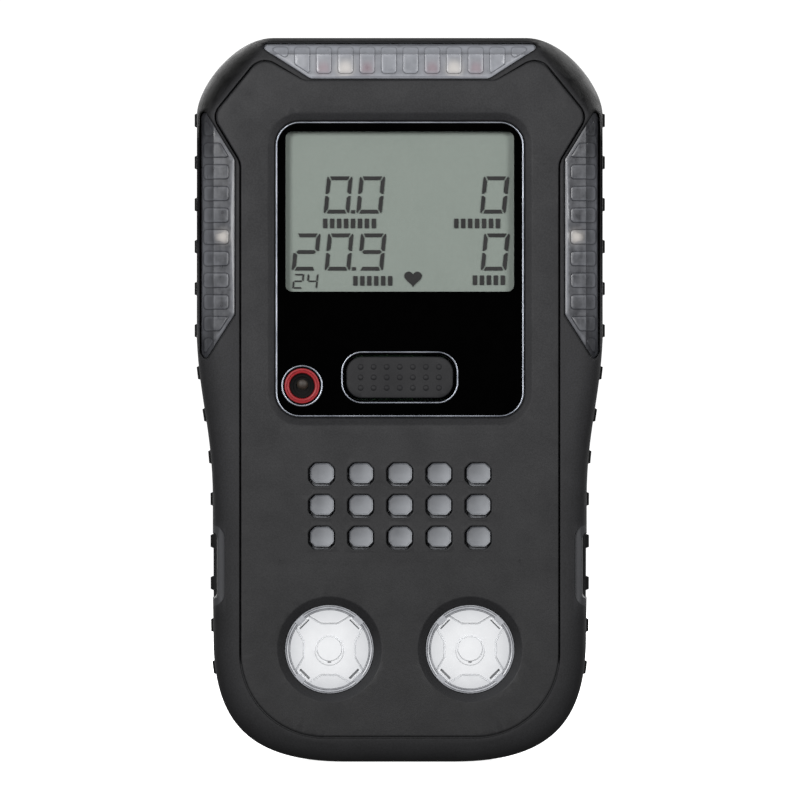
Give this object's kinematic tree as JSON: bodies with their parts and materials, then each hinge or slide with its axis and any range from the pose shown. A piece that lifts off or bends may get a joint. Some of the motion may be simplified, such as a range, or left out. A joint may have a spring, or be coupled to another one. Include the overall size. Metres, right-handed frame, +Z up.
{
  "type": "portable gas detector",
  "caption": "Handheld multi-gas detector with a display, push button, alarm lenses on three sides, round sensor ports, a vent grid and a sprung belt clip.",
  "frame": {"origin": "the middle of the overall width and depth, at the base's level", "axes": "+Z up along the height, +X to the right as the user reads the display, and the display faces -Y"},
  "size_m": [0.0684, 0.0406, 0.12],
  "materials": {
    "edge_rubber": "satin overmoulded rubber",
    "rear_plastic": "fine spark texture",
    "panel_plastic": "fine spark texture",
    "seal_rubber": "smooth",
    "lens_plastic": "smoky translucent, ribbed",
    "window_gloss": "polished black",
    "display_glass": "satin grey-green liquid crystal",
    "button_rubber": "matte with raised dots",
    "port_red": "polished red",
    "cap_clear": "clear moulded plastic",
    "filter_white": "porous white membrane",
    "filter_grey": "sintered grey",
    "inner_plastic": "smooth",
    "sensor_body": "smooth",
    "circuit_board": "solder mask",
    "battery_wrap": "shrink wrap",
    "steel": "brushed stainless",
    "contact_gold": "gold plated",
    "label_grey": "blank satin label"
  },
  "bodies": {
    "case": {"battery_bracket": "steel", "battery_pack": "battery_wrap", "board_connector": "inner_plastic", "button_switch": "inner_plastic", "buzzer": "inner_plastic", "carbon_dioxide_gasket": "seal_rubber", "carbon_dioxide_sensor": "sensor_body", "case_screw_1": "steel", "case_screw_2": "steel", "case_screw_3": "steel", "case_screw_4": "steel", "case_screw_5": "steel", "case_screw_6": "steel", "charging_contact_1": "contact_gold", "charging_contact_2": "contact_gold", "charging_contact_3": "contact_gold", "clip_bracket": "steel", "clip_pin": "steel", "clip_screw_1": "steel", "clip_screw_2": "steel", "clip_screw_3": "steel", "clip_spring": "steel", "combustible_gas_gasket": "seal_rubber", "combustible_gas_sensor": "sensor_body", "display_window": "window_gloss", "front_housing": "edge_rubber", "front_panel": "panel_plastic", "housing_gasket": "seal_rubber", "infrared_led": "cap_clear", "infrared_port_lens": "inner_plastic", "infrared_port_ring": "port_red", "lcd_backlight": "filter_white", "lcd_frame": "inner_plastic", "lcd_glass": "display_glass", "left_alarm_lens": "lens_plastic", "left_filter_disc": "filter_white", "left_grip": "edge_rubber", "left_led_board": "circuit_board", "left_sensor_cap": "cap_clear", "main_board": "circuit_board", "oxygen_gasket": "seal_rubber", "oxygen_sensor": "sensor_body", "rear_housing": "rear_plastic", "rear_label": "label_grey", "right_alarm_lens": "lens_plastic", "right_filter_disc": "filter_white", "right_grip": "edge_rubber", "right_led_board": "circuit_board", "right_sensor_cap": "cap_clear", "sensor_board": "circuit_board", "top_alarm_lens": "lens_plastic", "top_led_board": "circuit_board", "toxic_gas_gasket": "seal_rubber", "toxic_gas_sensor": "sensor_body", "vent_filter": "filter_grey", "vibration_motor": "steel"},
    "button": {"push_button": "button_rubber"},
    "weight": {"motor_weight": "steel"},
    "clip": {"clip_lever": "steel"}
  },
  "joints": [
    {"name": "button_press", "type": "slide", "parent": "case", "child": "button", "axis": [0, 1, 0], "range_m": [0, 0.0007], "stiffness_N_per_m": 400, "springref_m": -0.003},
    {"name": "clip_open", "type": "hinge", "parent": "case", "child": "clip", "pos_m": [0, 0.0144, 0.088], "axis": [1, 0, 0], "range_deg": [0, 22], "stiffness_Nm_per_rad": 0.06, "springref_deg": -45.84, "deforming": ["clip_spring"]},
    {"name": "motor_spin", "type": "hinge", "parent": "case", "child": "weight", "pos_m": [0.019, -0.0023, 0.067], "axis": [0, 0, 1], "continuous": true}
  ]
}
